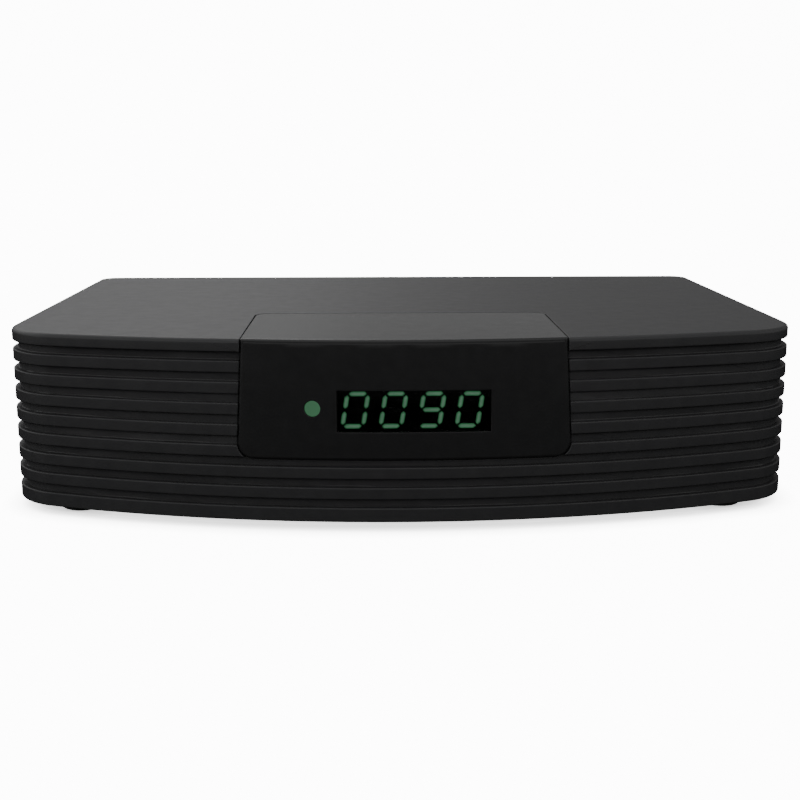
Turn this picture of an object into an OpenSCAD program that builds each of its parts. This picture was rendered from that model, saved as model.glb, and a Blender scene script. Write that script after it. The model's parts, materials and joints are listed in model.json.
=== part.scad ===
// Digital television receiver: a low black box with a ribbed, bowed front,
// a leaning fascia with a four digit display, and its sockets along the back.
// Millimetres, +Z up, the front faces -Y, the feet stand on z = 0.

/* [Case] */
// Width over the ribs
case_w = 220; // [198:1:250]
// Depth from the middle of the bowed front to the back edge
case_d = 156; // [150:1:180]
// Height of the case above its feet
case_h = 48.5; // [47:0.5:60]
// Radius of the bowed front
bow_r = 280; // [240:5:340]
// Radius of the two front corners
corner_r = 19; // [15:0.5:23]
// Radius of the two back corners
back_r = 6; // [5:0.5:9]
// How far the top of the front leans back at the middle
front_lean = 3; // [1:0.1:4]
// Rib pitches below the lid over which the front straightens
lean_ribs = 3.5; // [2:0.5:5]
// Wall thickness behind the ribs
wall_t = 2.2; // [1.8:0.1:2.8]
// Thickness of the lid
top_t = 2.4; // [2:0.1:3]
// Thickness of the base plate
base_t = 2.4; // [2:0.1:3]

/* [Ribs] */
// Number of ribs under the lid band
rib_count = 8; // [6:1:9]
// Depth of the grooves between the ribs
rib_depth = 1.6; // [1:0.1:2]
// Height of each groove
groove_h = 2.3; // [1.6:0.1:3]
// Height of the plain band along the lid
lid_band = 3.5; // [2.8:0.1:5]
// Extra height of the lowest rib
base_band = 0.7; // [0.4:0.1:2]

/* [Fascia] */
// Width of the fascia at the top
fascia_w = 86; // [82:1:96]
// Widening of each side of the fascia towards its lower edge
fascia_flare = 1; // [0.2:0.1:2]
// Height of the fascia on the front
fascia_h = 31.5; // [29:0.5:36]
// Reach of the fascia over the lid
fascia_d = 54.5; // [45:0.5:60]
// Thickness of the fascia
fascia_t = 2.2; // [1.8:0.1:2.6]
// Corner radius of the fascia
fascia_r = 4; // [2:0.5:5]
// Open joint around the fascia
fascia_gap = 0.3; // [0.25:0.05:0.5]
// How far the fascia stands out of the ribs
fascia_proud = 0.3; // [0.1:0.1:0.8]

/* [Display] */
// Width of the display window
window_w = 40.3; // [37:0.1:44]
// Height of the display window
window_h = 10.9; // [10.4:0.1:12.4]
// Window centre to the right of the middle
window_x = 2.4; // [0:0.1:4]
// Window centre below the top of the case
window_drop = 18.6; // [17.5:0.1:20]
// Diameter of the status light
light_d = 4.2; // [3.6:0.1:5]
// Status light to the left of the window centre
light_step = 26.6; // [25.5:0.1:28]
// Status light below the top of the case
light_drop = 17.9; // [16:0.1:20]
// Height of a digit
digit_h = 10; // [7:0.1:10.4]
// Width of a digit
digit_w = 6.7; // [4:0.1:6.8]
// Pitch of the digits
digit_pitch = 10.07; // [8:0.01:10.5]
// Width of a segment
segment_w = 1.25; // [0.8:0.05:1.4]
// Digits to the left of the window centre
digit_left = 0.3; // [0:0.1:0.5]
// Digits below the window centre
digit_low = 0.5; // [0:0.1:0.6]
// Slant of the digits in degrees
digit_slant = 9; // [0:1:12]
// Height of the display module
module_h = 12.8; // [11:0.1:15]
// Depth of the display module
module_d = 7; // [6:0.1:9]

/* [Feet] */
// Diameter of a foot
foot_d = 12; // [10:0.5:13]
// Height of a foot below the case
foot_h = 2.7; // [1.4:0.1:3]
// Rear feet in front of the back edge
foot_back = 16; // [14:0.5:20]
// Height of a foot inside the base plate
foot_sink = 0.6; // [0.4:0.1:1]

/* [Boards] */
// Thickness of the circuit boards
board_t = 1.6; // [1:0.1:2]
// Height of the board posts on the base
post_h = 5; // [4:0.1:6]
// Depth of the main board
main_d = 92; // [86:1:94]
// Width of the ribbon cable
ribbon_w = 12; // [8:0.5:16]
// Thickness of the ribbon cable
ribbon_t = 0.9; // [0.6:0.1:1.2]

/* [Sockets] */
// How far the aerial sockets reach past the back edge
socket_reach = 9; // [7:0.5:12]
// Thickness of the rear panel
panel_t = 1.5; // [1:0.1:2]
// Outer diameter of the aerial input sleeve
aerial_in_d = 11.5; // [11:0.1:12]
// Outer diameter of the aerial loop sleeve
aerial_out_d = 9.5; // [9:0.1:10]
// Width of the tuner can
tuner_w = 32; // [30:0.5:33]
// Depth of the tuner can
tuner_d = 42; // [36:0.5:46]
// Height of the tuner can
tuner_h = 14; // [13.4:0.1:16]
// Outer diameter of the digital audio barrel
audio_d = 8.3; // [7.8:0.1:8.8]
// Width of the scart socket
scart_w = 50; // [48:0.5:51]
// Height of the scart socket
scart_h = 20; // [18:0.5:21]
// Width of the video socket
video_w = 15; // [14:0.1:15.5]
// Height of the video socket
video_h = 6; // [5.6:0.1:7]
// Width of the memory stick socket
stick_w = 13.2; // [12.6:0.1:14]
// Height of the memory stick socket
stick_h = 6; // [5.6:0.1:7]
// Width of the power jack
jack_w = 9; // [8:0.1:10]
// Height of the power jack
jack_h = 11; // [10:0.1:12]

/* [Switch] */
// Half width of the rocker
rocker_half = 6.2; // [5.4:0.1:6.6]
// Rise of the rocker ends over its pivot
rocker_rise = 3.4; // [3:0.1:3.8]
// Height of the rocker
rocker_h = 8.4; // [7:0.1:9]
// Tilt of the rocker to each side in degrees
rocker_tilt = 9; // [6:0.5:10]
// Diameter of the rocker pins
rocker_pin_d = 2.4; // [2:0.1:2.8]

/* [Hidden] */
$fn = 96;
// Running clearances
pin_play = 0.05;
press_play = 0.05;
seat_play = 0.1;
part_play = 0.3;
panel_play = 0.4;
// Case
top_z = foot_h + case_h;
lid_under = top_z - top_t;
base_top = foot_h + base_t;
inner = rib_depth + wall_t;
least_r = 0.6;
rib_pitch = (case_h - lid_band - base_band) / rib_count;
rib_top = top_z - lid_band;
front_y = (fascia_proud - case_d - socket_reach) / 2;
corner_x = case_w / 2 - corner_r;
corner_y = bow_r - sqrt(pow(bow_r - corner_r, 2) - pow(corner_x, 2));
foot_edge = 1;
foot_round = 0.6;
foot_x = corner_x;
foot_front = corner_y - (corner_r - inner - part_play - foot_edge - foot_d / 2);
// Fascia
fascia_z = top_z - fascia_h;
fascia_half = fascia_w / 2;
hook_reach = 2;
hook_t = 1.4;
hook_low = 10;
return_t = 1.6;
return_x = fascia_half - 2;
window_z = top_z - window_drop;
light_x = window_x - light_step;
light_z = top_z - light_drop;
glass_lip = 1.5;
glass_t = 1;
glass_sink = 0.2;
glass_back = fascia_t + press_play + glass_t;
segment_t = 0.2;
digit_count = 4;
// Front board
module_w = window_w + 0.2;
module_y = face_y(window_x + window_w / 2 + glass_lip, window_z + window_h / 2 + glass_lip)
    + glass_back + segment_t + part_play;
front_board_y = module_y + module_d;
front_board_w = 2 * return_x - 5;
front_board_h = module_h + 10;
front_screw_x = front_board_w / 2 - 3.5;
front_screw_r = 0.9;
front_boss_r = 2.6;
eye_x = (window_x + module_w / 2 + front_screw_x - front_boss_r) / 2;
eye_w = 3.6;
eye_d = 3.2;
eye_h = 7;
// Rear panel
panel_y1 = case_d - inner - seat_play;
panel_y0 = panel_y1 - panel_t;
opening_half = case_w / 2 - inner - 10;
panel_half = case_w / 2 - max(back_r, inner + least_r);
opening_edge = 2;
opening_top = lid_under - opening_edge;
ridge_t = 1.6;
ridge_h = 3;
vent_count = 16;
vent_pitch = 7;
vent_w = 2.4;
vent_l = 22;
vent_edge = 3;
// Main board
board_side = 13;
main_w = case_w - 2 * board_side;
main_y1 = panel_y0 - part_play;
main_y0 = main_y1 - main_d;
main_z = base_top + post_h;
main_top = main_z + board_t;
post_r = 3.2;
post_x = main_w / 2 - 5;
post_y = [main_y0 + 6, main_y1 - 9];
board_screw_r = 1.25;
board_head_r = 2.4;
// Case screws
boss_r = 3.6;
boss_gap = 0.6;
boss_x = main_w / 2 + boss_r + boss_gap;
boss_y = [main_y0 - 14, case_d - foot_back - foot_d / 2 - 12];
case_screw_r = 1.4;
case_head_r = 3;
case_head_h = 1.1;
screw_l = 10;
// Socket row, in order from the left side of the front view
switch_wall = 1.5;
rocker_play = 0.35;
rocker_swing = norm([rocker_half, rocker_rise]);
pocket_half = rocker_swing + rocker_play;
switch_w = 2 * (pocket_half + switch_wall);
switch_h = rocker_h + 2 * (rocker_play + switch_wall + 0.4);
audio_w = 10;
row_w = [tuner_w, audio_w, scart_w, video_w, stick_w, switch_w, jack_w];
row_side = 8;
row_edge = main_w / 2 - row_side;
row_gap = (2 * row_edge - row_sum(len(row_w))) / (len(row_w) - 1);
tuner_x = row_x(0);
audio_x = row_x(1);
scart_x = row_x(2);
video_x = row_x(3);
stick_x = row_x(4);
switch_x = row_x(5);
jack_x = row_x(6);
// Tuner
can_t = 0.6;
collar_l = 1.5;
tuner_y1 = main_y1 - collar_l;
tuner_y0 = tuner_y1 - tuner_d;
aerial_step = tuner_w / 4 + 0.5;
aerial_z = main_top + tuner_h / 2;
aerial_end = case_d + socket_reach;
sleeve_t = 0.8;
aerial_in_r = aerial_in_d / 2;
aerial_out_r = aerial_out_d / 2;
aerial_pin_r = 1.15;
collar_r = aerial_out_r + 1;
collar_end = panel_y1 + 0.6;
plug_t = 2.5;
tuning_hole_r = 1.6;
// Digital audio
audio_r = audio_d / 2;
audio_h = 13;
audio_z = main_top + audio_h / 2 + 0.5;
audio_depth = 9;
audio_body_d = 9;
audio_end = case_d + socket_reach - 3;
audio_pin_r = 1.6;
// Scart
scart_body_d = 14;
scart_end = panel_y1 + 2;
scart_slot = 2.6;
scart_rim = 1.6;
scart_island_w = scart_w - 2 * (scart_rim + scart_slot);
scart_island_h = scart_h - 2 * (scart_rim + scart_slot);
scart_depth = 9;
blade_count = 10;
blade_pitch = scart_island_w / (blade_count + 0.5);
blade_w = 1.6;
blade_h = 3;
blade_t = 0.4;
// Video and memory stick sockets
shell_t = 0.5;
video_body_d = 11;
stick_body_d = 14;
shell_end = panel_y1 + 0.6;
tongue_base = 3;
// Power jack
jack_body_d = 13.5;
jack_hole_r = 3.2;
jack_pin_r = 1;
jack_depth = 9.5;
jack_drop = 4.6;
jack_z = main_top + jack_h - jack_drop;
// Switch
switch_body_d = 13;
switch_end = panel_y1 + 1.4;
pivot_y = switch_end - rocker_rise - 0.2;
switch_z = main_top + switch_h / 2;
pocket_h = rocker_h + 2 * rocker_play;
pocket_y = pivot_y - rocker_swing - rocker_play;
rocker_pin_r = rocker_pin_d / 2;
pin_grip = 1;
// Parts on the main board
chip_y = main_y1 - main_d * 0.565;
chip_x = 4;
chip_w = 17;
chip_h = 1.4;
pad_h = 0.6;
sink_w = 26;
sink_base = 2;
sink_h = 11;
fin_count = 7;
fin_t = 1.2;
memory_size = [8, 12, 1.1];
flash_size = [8, 6, 1.8];
crystal_l = 11;
crystal_w = 4.6;
crystal_h = 3.5;
part_step = 4;
memory_x = chip_x - sink_w / 2 - part_step - memory_size[0] / 2;
crystal_y = chip_y - memory_size[1] - 1.5 * part_step - crystal_w / 2;
flash_x = chip_x + sink_w / 2 + part_step + flash_size[0] / 2;
flash_y = chip_y - (sink_w + flash_size[1] + part_step) / 2;
power_x = chip_x + sink_w / 2;
power_span = main_w / 2 - power_x;
can_r = 4;
can_h = 11.5;
can_bead = 0.4;
can_bead_z = 2.2;
// Shares of the board right of the heat sink, and steps of the part's own size
can_at = [[0.19, 3.5], [0.35, 1.5], [0.5, 3.5], [0.65, 1]];
coil_w = 8;
coil_h = 5;
coil_at = [[0.35, -1.5], [0.53, -1.25], [0.7, -1.75]];
regulator_w = 6.6;
regulator_h = 2.3;
regulator_at = [0.53, -4];
// Headers and ribbon
header_w = ribbon_w + 3;
header_d = 6;
header_h = 5.4;
header_slot = 2;
ribbon_z = window_z - module_h / 2 - 1;
ribbon_r = 4;
main_header_y = main_y0 + 9;
ribbon_y0 = front_board_y + board_t + header_d - header_slot;
ribbon_z0 = main_top + header_h - header_slot;

// Radius of the bowed front where it leans back by a given setback
function bow_at(setback) =
    (pow(corner_x, 2) + pow(corner_y - setback, 2) - pow(corner_r, 2))
    / (2 * (corner_y - setback - corner_r));

// Setback of the front at a rib, counted from the lid
function setback_at(rib) = front_lean * max(0, 1 - rib / lean_ribs);

// Radius of the fascia face about the axis of the bow
function face_r(z) = bow_r + fascia_proud - front_lean * (z - fascia_z) / fascia_h;

// Distance of the fascia face behind the middle of the front
function face_y(x, z) = bow_r - sqrt(pow(face_r(z), 2) - pow(x, 2));

// Distance of the inner face of the front wall behind the middle of the front
function wall_y(x) = front_lean + bow_at(front_lean)
    - sqrt(pow(bow_at(front_lean) - inner, 2) - pow(x, 2));

function row_sum(n) = n == 0 ? 0 : row_w[n - 1] + row_sum(n - 1);
function row_x(n) = -row_edge + row_sum(n) + n * row_gap + row_w[n] / 2;
function mirrored(points) = concat(points,
    [for (i = [len(points) - 1:-1:0]) [-points[i][0], points[i][1]]]);

// Moves a piece drawn from the middle of the front to its place
module placed() {
    translate([0, front_y, 0])
        children();
}

module block(x0, x1, y0, y1, z0, z1) {
    translate([x0, y0, z0])
        cube([x1 - x0, y1 - y0, z1 - z0]);
}

// Round bar along the depth
module bar(r, x, z, y0, y1) {
    translate([x, y0, z])
        rotate([-90, 0, 0])
            cylinder(r = r, h = y1 - y0);
}

module post(r, x, y, z0, z1) {
    translate([x, y, z0])
        cylinder(r = r, h = z1 - z0);
}

module both_sides() {
    for (side = [0, 1])
        mirror([side, 0, 0])
            children();
}

// Slice of a disc between two angles
module pie(r, from, to) {
    intersection() {
        circle(r);
        polygon([[0, 0], for (a = [from, (from + to) / 2, to]) 2 * r * [cos(a), sin(a)]]);
    }
}

// What is cut away between two angles to leave a round corner
module corner_cut(r, from, to) {
    difference() {
        polygon([[0, 0], for (a = [from, (from + to) / 2, to]) 3 * r * [cos(a), sin(a)]]);
        circle(r);
    }
}

// Outline of the case from above, drawn in by an inset
module plan(inset, setback) {
    bow = bow_at(setback);
    bow_y = setback + bow;
    side = case_w / 2 - inset;
    back = case_d - inset;
    round = max(back_r - inset, least_r);
    turn = atan2(corner_x, bow_y - corner_y);
    difference() {
        intersection() {
            translate([0, bow_y])
                circle(bow - inset, $fn = 360);
            translate([-side, -1])
                square([2 * side, back + 1]);
        }
        for (side_no = [0, 1])
            mirror([side_no, 0]) {
                translate([corner_x, corner_y])
                    corner_cut(corner_r - inset, turn - 90, 0);
                translate([side - round, back - round])
                    corner_cut(round, 0, 90);
            }
    }
}

// Plate with its back corners rounded, from y0 to y1
module tongue_plan(half, y0, y1, r) {
    difference() {
        translate([-half, y0])
            square([2 * half, y1 - y0]);
        for (side_no = [0, 1])
            mirror([side_no, 0])
                translate([half - r, y1 - r])
                    corner_cut(r, 0, 90);
    }
}

// Front view of the fascia, drawn out by a gap, as a prism along the depth
module fascia_prism(grow, y0, y1) {
    r = fascia_r + grow;
    low = fascia_z - grow;
    top_half = fascia_half + grow;
    half = top_half + fascia_flare;
    translate([0, y1, 0])
        rotate([90, 0, 0])
            linear_extrude(y1 - y0)
                difference() {
                    polygon(mirrored([[top_half, top_z + 1], [top_half, lid_under - 1],
                        [half, low + r], [half, low]]));
                    for (side_no = [0, 1])
                        mirror([side_no, 0])
                            translate([half - r, low + r])
                                corner_cut(r, 270, 360);
                }
}

// Layer of the leaning, bowed face between two depths
module face_layer(from, to) {
    low = fascia_z - 1;
    high = top_z;
    reach = asin((fascia_half + fascia_flare + 3) / (bow_r - front_lean - to));
    translate([0, bow_r, 0])
        rotate([0, 0, 270 - reach])
            rotate_extrude(angle = 2 * reach, $fn = 360)
                polygon([[face_r(low) - to, low], [face_r(low) - from, low],
                    [face_r(high) - from, high], [face_r(high) - to, high]]);
}

module upright_slots(count, pitch, w, y0, y1, z0, z1) {
    for (i = [0:count - 1])
        translate([(i - (count - 1) / 2) * pitch, 0, 0])
            block(-w / 2, w / 2, y0, y1, z0, z1);
}

// Case pieces

module cover_bands() {
    translate([0, 0, rib_top])
        linear_extrude(lid_band)
            plan(0, front_lean);
    for (rib = [0:rib_count - 1]) {
        low = rib_top - (rib + 1) * rib_pitch;
        foot = rib == rib_count - 1 ? base_band : 0;
        translate([0, 0, low - foot])
            linear_extrude(rib_pitch - groove_h + foot)
                plan(0, setback_at(rib));
        translate([0, 0, low + rib_pitch - groove_h])
            linear_extrude(groove_h)
                plan(rib_depth, setback_at(rib));
    }
}

module top_cover() {
    color("#26272a")
        placed()
            difference() {
                union() {
                    difference() {
                        cover_bands();
                        translate([0, 0, foot_h - 1])
                            linear_extrude(lid_under - foot_h + 1)
                                plan(inner, front_lean);
                    }
                    both_sides()
                        for (y = boss_y)
                            post(boss_r, boss_x, y, base_top + seat_play, lid_under + 1);
                    block(-opening_half, opening_half, panel_y0 - seat_play - ridge_t,
                        panel_y0 - seat_play, lid_under - ridge_h, lid_under + 1);
                }
                fascia_prism(fascia_gap, -2, wall_y(fascia_half + fascia_flare + 1));
                translate([0, 0, lid_under - 1])
                    linear_extrude(top_t + 2)
                        tongue_plan(fascia_half + fascia_gap, wall_y(0) - 1,
                            fascia_d + fascia_gap, fascia_r + fascia_gap);
                block(-opening_half, opening_half, panel_y1, case_d + 1, foot_h - 1, opening_top);
                both_sides()
                    for (y = boss_y)
                        post(case_screw_r + pin_play, boss_x, y, base_top - 1,
                            foot_h + screw_l + 2);
            }
}

module base_plate() {
    color("#1f2022")
        placed()
            difference() {
                union() {
                    translate([0, 0, foot_h])
                        linear_extrude(base_t)
                            plan(inner + part_play, front_lean);
                    both_sides()
                        for (y = post_y)
                            post(post_r, post_x, y, base_top - 1, main_z);
                    block(-opening_half, opening_half, panel_y0 - seat_play - ridge_t,
                        panel_y0 - seat_play, base_top - 1, base_top + ridge_h);
                    block(-opening_half + part_play, opening_half - part_play, panel_y0,
                        case_d, foot_h, base_top);
                }
                both_sides() {
                    for (y = boss_y) {
                        post(case_screw_r + part_play, boss_x, y, foot_h - 1, base_top + 1);
                        post(case_head_r + part_play, boss_x, y, foot_h - 1,
                            foot_h + case_head_h + seat_play);
                    }
                    for (y = post_y)
                        post(board_screw_r + pin_play, post_x, y, base_top, main_z + 1);
                    for (y = [foot_front, case_d - foot_back])
                        post(foot_d / 2 + press_play, foot_x, y, foot_h - 1, foot_h + foot_sink);
                }
                for (y = [main_y0 + main_d * 0.17, main_y0 + main_d * 0.5])
                    upright_slots(vent_count, vent_pitch, vent_w, y, y + vent_l,
                        foot_h - 1, base_top + 1);
            }
}

module rear_panel() {
    color("#232427")
        placed()
            difference() {
                block(-panel_half, panel_half, panel_y0, panel_y1,
                    base_top + seat_play, lid_under - seat_play);
                bar(aerial_in_r + panel_play, tuner_x - aerial_step, aerial_z,
                    panel_y0 - 1, panel_y1 + 1);
                bar(collar_r + panel_play, tuner_x + aerial_step, aerial_z,
                    panel_y0 - 1, panel_y1 + 1);
                bar(audio_r + panel_play, audio_x, audio_z, panel_y0 - 1, panel_y1 + 1);
                panel_hole(scart_x, scart_w, main_top, scart_h);
                panel_hole(video_x, video_w, main_top, video_h);
                panel_hole(stick_x, stick_w, main_top, stick_h);
                panel_hole(switch_x, switch_w, main_top, switch_h);
                panel_hole(jack_x, jack_w, main_top, jack_h);
                upright_slots(vent_count, vent_pitch, vent_w, panel_y0 - 1, panel_y1 + 1,
                    main_top + scart_h + vent_edge, opening_top - vent_edge);
            }
}

module panel_hole(x, w, z, h) {
    block(x - w / 2 - panel_play, x + w / 2 + panel_play, panel_y0 - 1, panel_y1 + 1,
        z - panel_play, z + h + panel_play);
}

module front_fascia() {
    hook_y = wall_y(fascia_half + hook_reach) + part_play;
    color("#17181a")
        placed()
            difference() {
                union() {
                    intersection() {
                        face_layer(0, fascia_d + 8);
                        fascia_prism(0, -2, fascia_d + 2);
                        union() {
                            face_layer(0, fascia_t);
                            translate([0, 0, top_z - fascia_t])
                                linear_extrude(fascia_t)
                                    tongue_plan(fascia_half, -1, fascia_d, fascia_r);
                            both_sides() {
                                block(return_x, return_x + return_t, 0, hook_y + hook_t,
                                    fascia_z + fascia_r, top_z - fascia_t / 2);
                                bar(front_boss_r, front_screw_x, window_z, 0, front_board_y);
                            }
                        }
                    }
                    both_sides()
                        block(return_x, fascia_half + hook_reach, hook_y, hook_y + hook_t,
                            fascia_z + hook_low, lid_under - 1);
                }
                block(window_x - window_w / 2, window_x + window_w / 2, -5, module_y,
                    window_z - window_h / 2, window_z + window_h / 2);
                bar(light_d / 2, light_x, light_z, -5, front_board_y);
                both_sides()
                    bar(front_screw_r + pin_play, front_screw_x, window_z,
                        front_board_y - 6, front_board_y + 1);
            }
}

module display_window() {
    play = press_play;
    color("#0c0d0e", 0.75)
        placed() {
            intersection() {
                face_layer(glass_sink, glass_back);
                block(window_x - window_w / 2 + play, window_x + window_w / 2 - play, -5, 20,
                    window_z - window_h / 2 + play, window_z + window_h / 2 - play);
            }
            intersection() {
                face_layer(fascia_t + press_play, glass_back);
                block(window_x - window_w / 2 - glass_lip, window_x + window_w / 2 + glass_lip,
                    -5, 20, window_z - window_h / 2 - glass_lip,
                    window_z + window_h / 2 + glass_lip);
            }
        }
}

module status_light_pipe() {
    color("#5fae7c", 0.8)
        placed() {
            intersection() {
                face_layer(0, glass_back);
                bar(light_d / 2 - press_play, light_x, light_z, -5, 20);
            }
            intersection() {
                face_layer(fascia_t + press_play, glass_back);
                bar(light_d / 2 + 0.8, light_x, light_z, -5, 20);
            }
        }
}

module foot_at(x, y) {
    r = foot_d / 2;
    turn = foot_round * (1 - cos(45));
    color("#131314")
        placed()
            translate([x, y, 0])
                rotate_extrude()
                    polygon([[0, 0], [r - foot_round, 0], [r - turn, turn], [r, foot_round],
                        [r, foot_h + foot_sink - press_play], [0, foot_h + foot_sink - press_play]]);
}

module foot_front_left() {
    foot_at(-foot_x, foot_front);
}

module foot_front_right() {
    foot_at(foot_x, foot_front);
}

module foot_rear_left() {
    foot_at(-foot_x, case_d - foot_back);
}

module foot_rear_right() {
    foot_at(foot_x, case_d - foot_back);
}

// Screw with its head down at z, pointing up
module screw(shank_r, shank_l, head_r, head_h) {
    difference() {
        union() {
            cylinder(r = head_r, h = head_h);
            cylinder(r = shank_r, h = shank_l);
        }
        translate([-head_r * 0.6, -head_r * 0.12, -1])
            cube([head_r * 1.2, head_r * 0.24, 1 + head_h * 0.5]);
        translate([-head_r * 0.12, -head_r * 0.6, -1])
            cube([head_r * 0.24, head_r * 1.2, 1 + head_h * 0.5]);
    }
}

module case_screws() {
    color("#b4b6b8")
        placed()
            both_sides()
                for (y = boss_y)
                    translate([boss_x, y, foot_h + seat_play])
                        screw(case_screw_r, screw_l, case_head_r, case_head_h);
}

module board_screws() {
    head_h = 1.6;
    color("#b4b6b8")
        placed()
            both_sides()
                for (y = post_y)
                    translate([post_x, y, main_top + head_h])
                        mirror([0, 0, 1])
                            screw(board_screw_r, head_h + board_t + post_h - 1,
                                board_head_r, head_h);
}

module front_board_screws() {
    head_h = 1.4;
    color("#b4b6b8")
        placed()
            both_sides()
                translate([front_screw_x, front_board_y + board_t + head_h, window_z])
                    rotate([90, 0, 0])
                        screw(front_screw_r, head_h + board_t + 5, 1.9, head_h);
}

// Front electronics

module front_board() {
    color("#20593a")
        placed()
            difference() {
                block(-front_board_w / 2, front_board_w / 2, front_board_y,
                    front_board_y + board_t, window_z - front_board_h / 2,
                    window_z + front_board_h / 2);
                both_sides()
                    bar(front_screw_r + part_play, front_screw_x, window_z,
                        front_board_y - 1, front_board_y + board_t + 1);
            }
}

module led_display() {
    color("#0b0b0c")
        placed()
            block(window_x - module_w / 2, window_x + module_w / 2, module_y, front_board_y,
                window_z - module_h / 2, window_z + module_h / 2);
}

// Slanted segment between two points of a digit
module segment(a, b) {
    s = segment_w / 2;
    along = (b - a) / norm(b - a);
    across = [-along[1], along[0]];
    tip = 0.35;
    points = [a + along * tip, a + along * (tip + s) + across * s, b - along * (tip + s) + across * s,
        b - along * tip, b - along * (tip + s) - across * s, a + along * (tip + s) - across * s];
    polygon([for (p = points) [p[0] + p[1] * tan(digit_slant), p[1]]]);
}

module display_segments() {
    w = (digit_w - segment_w) / 2;
    h = (digit_h - segment_w) / 2;
    ends = [[[-w, h], [w, h]], [[w, h], [w, 0]], [[w, 0], [w, -h]], [[w, -h], [-w, -h]],
        [[-w, -h], [-w, 0]], [[-w, 0], [-w, h]], [[-w, 0], [w, 0]]];
    color("#7fcf9a")
        placed()
            for (digit = [0:digit_count - 1])
                translate([window_x - digit_left + (digit - (digit_count - 1) / 2) * digit_pitch,
                    module_y, window_z - digit_low])
                    rotate([90, 0, 0])
                        linear_extrude(segment_t)
                            for (pair = ends)
                                segment(pair[0], pair[1]);
}

module status_led() {
    r = 1.5;
    tip = face_y(light_x, light_z) + glass_back + part_play;
    color("#a9d8b4")
        placed() {
            bar(r, light_x, light_z, tip + r, front_board_y);
            bar(r + 0.4, light_x, light_z, tip + r + 3.5, front_board_y);
            translate([light_x, tip + r, light_z])
                sphere(r, $fn = 48);
        }
}

module infrared_receiver() {
    lens_r = eye_w / 2 - 0.2;
    color("#1a1416")
        placed() {
            block(eye_x - eye_w / 2, eye_x + eye_w / 2, front_board_y - eye_d, front_board_y,
                window_z - eye_h / 2, window_z + eye_h / 2);
            translate([eye_x, front_board_y - eye_d, window_z + eye_h / 9])
                sphere(lens_r, $fn = 48);
        }
}

module front_header() {
    y0 = front_board_y + board_t;
    color("#e4e1d6")
        placed()
            difference() {
                block(-header_w / 2, header_w / 2, y0, y0 + header_d,
                    ribbon_z - header_h / 2, ribbon_z + header_h / 2);
                block(-ribbon_w / 2 - seat_play, ribbon_w / 2 + seat_play,
                    ribbon_y0 - seat_play, y0 + header_d + 1,
                    ribbon_z - ribbon_t / 2 - seat_play, ribbon_z + ribbon_t / 2 + seat_play);
            }
}

module main_header() {
    color("#e4e1d6")
        placed()
            difference() {
                block(-header_w / 2, header_w / 2, main_header_y - header_d / 2,
                    main_header_y + header_d / 2, main_top, main_top + header_h);
                block(-ribbon_w / 2 - seat_play, ribbon_w / 2 + seat_play,
                    main_header_y - ribbon_t / 2 - seat_play,
                    main_header_y + ribbon_t / 2 + seat_play,
                    ribbon_z0 - seat_play, main_top + header_h + 1);
            }
}

module ribbon_cable() {
    half = ribbon_t / 2;
    bend_y = main_header_y - ribbon_r;
    bend_z = ribbon_z - ribbon_r;
    color("#b9babd")
        placed()
            translate([-ribbon_w / 2, 0, 0])
                rotate([90, 0, 90])
                    linear_extrude(ribbon_w) {
                        translate([ribbon_y0, ribbon_z - half])
                            square([bend_y - ribbon_y0, ribbon_t]);
                        translate([bend_y, bend_z])
                            difference() {
                                pie(ribbon_r + half, 0, 90);
                                circle(ribbon_r - half);
                            }
                        translate([main_header_y - half, ribbon_z0])
                            square([ribbon_t, bend_z - ribbon_z0]);
                    }
}

// Main board and its parts

module main_board() {
    color("#1f5c3a")
        placed()
            difference() {
                block(-main_w / 2, main_w / 2, main_y0, main_y1, main_z, main_top);
                both_sides()
                    for (y = post_y)
                        post(board_screw_r + part_play, post_x, y, main_z - 1, main_top + 1);
            }
}

// Flat part on the main board, centred at x, y
module board_part(x, y, size, z = main_top) {
    block(x - size[0] / 2, x + size[0] / 2, y - size[1] / 2, y + size[1] / 2, z, z + size[2]);
}

module system_chip() {
    color("#18191b")
        placed()
            board_part(chip_x, chip_y, [chip_w, chip_w, chip_h]);
}

module thermal_pad() {
    color("#8fa3b8")
        placed()
            board_part(chip_x, chip_y, [chip_w - 1, chip_w - 1, pad_h], main_top + chip_h);
}

module heat_sink() {
    z = main_top + chip_h + pad_h;
    step = (sink_w - fin_t) / (fin_count - 1);
    color("#3a3c40")
        placed() {
            board_part(chip_x, chip_y, [sink_w, sink_w, sink_base], z);
            for (fin = [0:fin_count - 1])
                board_part(chip_x + (fin - (fin_count - 1) / 2) * step, chip_y,
                    [fin_t, sink_w, sink_h], z);
        }
}

module memory_chips() {
    color("#1b1c1e")
        placed()
            for (side = [-1, 1])
                board_part(memory_x, chip_y + side * (memory_size[1] + part_step) / 2, memory_size);
}

module flash_chip() {
    color("#1b1c1e")
        placed()
            board_part(flash_x, flash_y, flash_size);
}

module crystal() {
    color("#c7c9cc")
        placed()
            translate([memory_x, crystal_y, main_top]) {
                board_part(0, 0, [crystal_l - crystal_w, crystal_w, crystal_h], 0);
                for (side = [-1, 1])
                    translate([side * (crystal_l - crystal_w) / 2, 0, 0])
                        cylinder(d = crystal_w, h = crystal_h);
            }
}

module capacitors() {
    color("#2b3144")
        placed()
            for (at = can_at)
                translate([power_x + at[0] * power_span, chip_y + at[1] * can_r, main_top])
                    rotate_extrude()
                        polygon([[0, 0], [can_r, 0], [can_r, can_bead_z - 1.5 * can_bead],
                            [can_r - can_bead, can_bead_z - can_bead / 2],
                            [can_r - can_bead, can_bead_z + can_bead / 2],
                            [can_r, can_bead_z + 1.5 * can_bead], [can_r, can_h - can_bead],
                            [can_r - can_bead, can_h], [0, can_h]]);
}

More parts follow.
